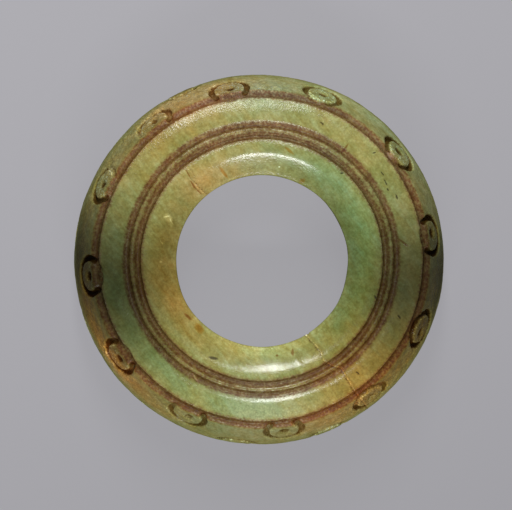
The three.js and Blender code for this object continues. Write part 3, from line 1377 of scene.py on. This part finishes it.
class BoneGraph(Graph):
    """The bone's node tree, with noises around 0 that vary its looks from place to place.

    Attributes:
        finish: the values that it is built from.
        place: places in mm.
        cloud, mottle, patchy, speck: even noises, from the coarsest to the finest.
        grit: specks with plainer edges.
        grain, fibre: streaks along the bone's grain, coarse and fine.
        wear: how worn a place is.
        stains: the amount of each stain, by the name of its strength.
    """

    def __init__(self, owner: bpy.types.Material, finish: BoneFinish) -> None:
        """Makes the noises and the stains.

        Args:
            owner: the material.
            finish: the values to build it from.
        """
        super().__init__(owner)
        self.finish = finish
        self.place = self.vector("MULTIPLY", self.add("ShaderNodeTexCoord", output="Object"), (1 / MM,) * 3)
        turn = {"Vector": self.place, "Angle": -math.radians(finish.grain_bearing)}
        turned = self.add("ShaderNodeVectorRotate", {"rotation_type": "Z_AXIS"}, turn)
        grain_place = self.vector("MULTIPLY", turned, finish.grain_stretch)
        fibre_place = self.vector("MULTIPLY", turned, finish.fibre_stretch)
        self.cloud = self.noise(self.place, scale=0.35, detail=3.0) - 0.5
        self.mottle = self.noise(self.place, scale=1.3, detail=4.0) - 0.5
        self.patchy = self.noise(self.place, scale=3.2, detail=2.0) - 0.5
        self.speck = self.noise(self.place, scale=7.0, detail=2.0) - 0.5
        self.grit = self.noise(self.place, scale=5.0, detail=1.5).rise(low=0.32, high=0.68) - 0.5
        self.grain = self.noise(grain_place, scale=1.0, detail=4.0) - 0.5
        self.fibre = self.noise(fibre_place, scale=1.0, detail=2.0) - 0.5
        self.wear = self.vary("wear", mottle=0.3).most(0.0).least(finish.most_wear)
        self.stains = self.all_stains()

    def vary(self, amount: Any, **shares: float) -> Wire:
        """An amount varied by noises.

        Args:
            amount: the amount, or the name of a value stored on the mesh.
            shares: how much of each named noise is added to it.

        Returns:
            The sum.
        """
        if isinstance(amount, str):
            amount = self.attribute(amount)
        for name, share in shares.items():
            amount = amount + getattr(self, name) * share
        return amount

    def all_stains(self) -> dict[str, Wire]:
        """Works out how much of each stain lies at a place.

        Returns:
            The amounts, by the name of their strength.
        """
        finish = self.finish
        inside, dust_and_glints = self.attribute("inside"), self.attribute("dust_and_glints")
        even, worn, at_dust_and_glints = finish.specks
        # yellow-brown stain, made paler at the top and the bottom as painted light
        iron_and_light = self.vary("iron_and_light", grain=1.1, mottle=0.6, fibre=0.5, patchy=0.6)
        # dark stain, with painted shade on the left and the right and painted light at the top and the
        # bottom
        soot_and_shade = self.vary("soot_and_shade", mottle=0.35, patchy=0.45, fibre=0.3)
        soot_and_shade = soot_and_shade + self.speck * (even + self.wear * worn + dust_and_glints * at_dust_and_glints)
        in_groove = self.vary("brown", mottle=0.2, grit=0.15).rise(*finish.loam_edge)
        in_mark = self.vary("pit", speck=0.5).rise(*finish.residue_edge)
        loam = self.attribute("loam") * self.vary(1, grit=0.7)
        return {
            "copper": self.vary("copper", cloud=0.5, mottle=0.35),
            "iron_and_light": (iron_and_light + inside * finish.ring_iron).most(0.0),
            "soot_and_shade": soot_and_shade + inside * self.vary(finish.ring_soot, grit=0.5),
            "loam": in_groove * self.vary(loam, mottle=0.8).most(0.0),
            "residue": in_mark * self.vary("grime", grit=0.35),
        }

    @staticmethod
    def line(distance: Wire, middle: float, edge: float, core: float) -> Wire:
        """A soft line: 1 within the core's distance of its middle, and 0 beyond the edge's."""
        return (distance - middle).size().rise(edge, core)

    def marks(self) -> list[tuple[Wire, Triple]]:
        """The flecks, with their painted glints, the cracks, and the pale rims, pale dusting and painted
        glints on the ring-and-dot marks.

        A crack has a broken pale edge, a dark one beside it and a stain round both.

        Returns:
            Pairs of an amount and a strength.
        """
        finish = self.finish
        ragged = self.vector("ADD", self.place, self.speck * finish.ragged)
        flecks = [(self.spot(ragged, fleck, finish.top), fleck.takes) for fleck in FLECKS]
        crack, shown = self.vary("crack", speck=0.1), self.attribute("crack_show")
        crack_gaps = self.vary(0, speck=1.6, patchy=1.2).rise(low=-0.12, high=0.16)
        shade_gaps = self.vary(0, speck=1.2).rise(low=-0.1, high=0.3)
        pale = self.line(crack, middle=0.02, edge=0.1, core=0.03) * shown * crack_gaps
        dark = self.line(crack, middle=-0.09, edge=0.08, core=0.02) * shown * shade_gaps
        stain = self.line(crack, middle=0, edge=0.45, core=0.05) * shown
        from_ring = (self.attribute("ring_distance") - MarkBit.ring_radius).size()
        rims = self.line(from_ring, middle=finish.rim, edge=0.09, core=0.02)
        rim_gaps = self.vary(0, mottle=1, speck=1, grit=0.3).rise(low=0, high=0.25)
        # pale dusting and painted glints, where the polish catches the lamps
        dust_and_glints = self.attribute("dust_and_glints")
        share, level = finish.dust_and_glint_level
        dust_and_glint_gaps = (self.vary(dust_and_glints * share, speck=3.0, grit=0.6) - level).rise(low=0, high=0.5)
        return flecks + [
            (pale, finish.crack_pale),
            (dark, finish.crack_dark),
            (rims * rim_gaps, finish.rim_pale),
            (dust_and_glint_gaps * dust_and_glints.rise(low=0.05, high=0.4), finish.dust_and_glint_pale),
            (stain, finish.crack_stain),
        ]

    def colour(self) -> Wire:
        """The bone's colour times exp(-(amount · strength)) over all the stains and marks.

        Returns:
            The colour.
        """
        taken = [(amount, getattr(self.finish, name)) for name, amount in self.stains.items()] + self.marks()
        sums = [sum(amount * strength[channel] for amount, strength in taken) for channel in range(3)]
        channels = [(total * -1.0).exponent() * own for total, own in zip(sums, self.finish.bone)]
        return self.add("ShaderNodeCombineColor", {}, dict(enumerate(channels)))

    def surface(self, colour: Wire) -> Wire:
        """Polished bone, covered by dull soil where dirt lies and on the side.

        Args:
            colour: the colour of both.

        Returns:
            The shader.
        """
        finish, wear = self.finish, self.wear
        dirt = self.stains["loam"].least(1.0)
        rough = (finish.polish + wear * finish.worn_dull + dirt * finish.dirt_dull).least(finish.dullest)
        relief = self.speck * (finish.fine_relief + wear * finish.worn_relief + dirt * finish.dirt_relief)
        crack = self.line(self.vary("crack", speck=0.1), middle=0, edge=0.1, core=0.02)
        height = self.vary(relief, mottle=finish.mottle_relief)
        height = height - crack * self.attribute("crack_show") * finish.crack_relief
        bump = self.add("ShaderNodeBump", {}, {"Strength": 1.0, "Distance": MM, "Height": height})
        polished = {"Base Color": colour, "Roughness": rough, "Normal": bump}
        bone = self.add("ShaderNodeBsdfPrincipled", {}, polished)
        soil = self.add("ShaderNodeBsdfDiffuse", {}, {"Color": colour, "Normal": bump})
        covered = dirt * finish.dirt_cover + self.stains["residue"] * finish.residue_cover
        covered = (covered + self.attribute("side") * finish.side_cover).least(finish.most_cover)
        return self.add("ShaderNodeMixShader", {}, {0: covered, 1: bone, 2: soil})


@dataclass(frozen=True)
class Backdrop:
    """The pale grey ground that the whorl lies on, and the air round it, in metres.

    Attributes:
        grey: the ground's colour.
        size: its width.
        level: its height, just below the underside's slight relief.
        shadow_share: how much of its look is real light, so that a shadow shows.
        gloss_share: how much of it the whorl's polish reflects.
        fill: strength of the air's even light.
        fall_across, fall_down: how much darker the right and the bottom of the picture are than the left
            and the top.
        fall_reach: over how far it darkens, about half the picture's width.
        fall_end: where the darkening stops, as a share of that.
    """

    grey: tuple[float, ...] = linear(167, 166, 171)
    size: float = 2.0
    level: float = -0.00002
    shadow_share: float = 0.15
    gloss_share: float = 0.05
    fill: float = 0.1
    fall_across: float = 0.065
    fall_down: float = 0.15
    fall_reach: float = 0.0205
    fall_end: float = 1.5

    def build(self) -> bpy.types.Object:
        """Makes the ground and the world.

        The ground shows its own grey to the camera and in gloss, and keeps a share of real light, so
        that the whorl's shadow falls on it.

        Returns:
            The ground's object.
        """
        half = self.size / 2
        signs = ((-1, -1), (1, -1), (1, 1), (-1, 1))
        corners = [(half * x, half * y, self.level) for x, y in signs]
        mesh = bpy.data.meshes.new("ground")
        mesh.from_pydata(corners, [], [(0, 1, 2, 3)])
        mesh.materials.append(self.ground_material())
        bpy.context.scene.world = self.air()
        return linked("ground", mesh)

    @staticmethod
    def rays(g: Graph, *kinds: str) -> Wire:
        """1 for rays of any of the kinds, 0 for others.

        Args:
            g: the material's graph.
            kinds: outputs of the light path.

        Returns:
            1 or 0.
        """
        share = g.add("ShaderNodeLightPath", output=kinds[0])
        for kind in kinds[1:]:
            share = share.most(g.add("ShaderNodeLightPath", output=kind))
        return share

    def ground_material(self) -> bpy.types.Material:
        """Grey that falls off gently to the lower right, as under soft studio lights.

        Returns:
            The material.
        """
        material = bpy.data.materials.new("ground_grey")
        g = Graph(material)
        place = g.add("ShaderNodeTexCoord", output="Object")
        x, y = (
            (g.add("ShaderNodeSeparateXYZ", {}, {0: place}, axis) / self.fall_reach)
            .least(self.fall_end)
            .most(-self.fall_end)
            for axis in ("X", "Y")
        )
        level = 1 - x * (self.fall_across / 2) + y * (self.fall_down / 2)
        level = level * (1 - self.rays(g, "Is Glossy Ray") * (1 - self.gloss_share))
        shown = g.add("ShaderNodeEmission", {}, {"Color": self.grey, "Strength": level})
        lit = g.add("ShaderNodeBsdfDiffuse", {}, {"Color": self.grey})
        seen = self.rays(g, "Is Camera Ray", "Is Glossy Ray", "Is Transmission Ray")
        surface = g.add("ShaderNodeMixShader", {}, {0: seen * (1 - self.shadow_share), 1: lit, 2: shown})
        g.add("ShaderNodeOutputMaterial", {}, {"Surface": surface})
        return material

    def air(self) -> bpy.types.World:
        """The same grey to the camera, and a low even fill for the rest.

        Returns:
            The world.
        """
        world = bpy.data.worlds.new("air")
        g = Graph(world)
        camera = g.add("ShaderNodeLightPath", output="Is Camera Ray")
        strength = self.fill + camera * (1 - self.fill)
        colour = g.mix(camera, (1, 1, 1, 1), self.grey)
        shown = g.add("ShaderNodeBackground", {}, {"Color": colour, "Strength": strength})
        g.add("ShaderNodeOutputWorld", {}, {"Surface": shown})
        return world


@dataclass(frozen=True)
class SoftLamp:
    """A rectangular soft light that faces the whorl.

    Attributes:
        name: what it is called.
        bearing: its side, in degrees round from +X.
        from_above: its angle away from straight above.
        distance: how far it stands.
        across, along: its size across its bearing and along it.
        watts: its power.
    """

    name: str
    bearing: float
    from_above: float
    distance: float
    across: float
    along: float
    watts: float

    def build(self) -> None:
        """Makes the lamp: its local Z points away from the whorl, and its X lies level."""
        turn, tilt = math.radians(self.bearing), math.radians(self.from_above)
        away = Vector((math.sin(tilt) * math.cos(turn), math.sin(tilt) * math.sin(turn), math.cos(tilt)))
        level = Vector((-math.sin(turn), math.cos(turn), 0))
        lamp = bpy.data.lights.new(self.name, "AREA")
        lamp.shape = "RECTANGLE"
        lamp.size, lamp.size_y = self.across, self.along
        lamp.energy = self.watts
        obj = linked(self.name, lamp)
        obj.matrix_world = looking(level, away, away * self.distance)
        obj.visible_camera = False


@dataclass(frozen=True)
class PhotoCamera:
    """The camera, almost straight above, with a long lens.

    Attributes:
        lean_x, lean_y: how far it stands off straight above, in degrees along X and Y.
        aim: the point that it looks at, in mm.
        distance: from there, in metres.
        view_width: width of what it sees there, in mm.
        sensor: width of its sensor, in mm.
        clip: the nearest and the furthest that it sees, in metres.
    """

    lean_x: float = -1.4
    lean_y: float = -0.7
    aim: Triple = (-0.257, 0.363, 4.1)
    distance: float = 2.0
    view_width: float = 41.58
    sensor: float = 36.0
    clip: Pair = (0.01, 20)

    def build(self) -> None:
        """Makes the camera and sets it as the scene's, with +Y up in the picture."""
        back = Vector((math.radians(self.lean_x), math.radians(self.lean_y), 1)).normalized()
        right = Vector((0, 1, 0)).cross(back).normalized()
        camera = bpy.data.cameras.new("photo_camera")
        camera.sensor_width = self.sensor
        camera.lens = self.sensor * self.distance / (self.view_width * MM)
        camera.clip_start, camera.clip_end = self.clip
        obj = linked("photo_camera", camera)
        obj.matrix_world = looking(right, back, Vector(self.aim) * MM + back * self.distance)
        bpy.context.scene.camera = obj


LAMPS = (
    SoftLamp("tall_softbox", bearing=93, from_above=33, distance=0.5, across=0.065, along=0.32, watts=1.75),
    SoftLamp("thin_strip", bearing=269, from_above=42.5, distance=0.5, across=0.27, along=0.03, watts=1.35),
)


def main() -> None:
    """Builds the whorl, the ground, the lamps and the camera, and logs each piece."""
    logging.basicConfig(level=logging.INFO, format="%(name)s: %(message)s")
    PhotoCamera().build()
    for lamp in LAMPS:
        lamp.build()
        log.info("lamp %s", lamp.name)
    ground = Backdrop().build()
    log.info("ground laid")
    whorl = WhorlBody().build(BoneFinish().material())
    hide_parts("whorl")
    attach(whorl, "root")
    log.info("whorl_body: %d points, %d faces", len(whorl.data.vertices), len(whorl.data.polygons))
    bpy.context.scene.view_settings.view_transform = "Standard"


if __name__ == "__main__":
    main()
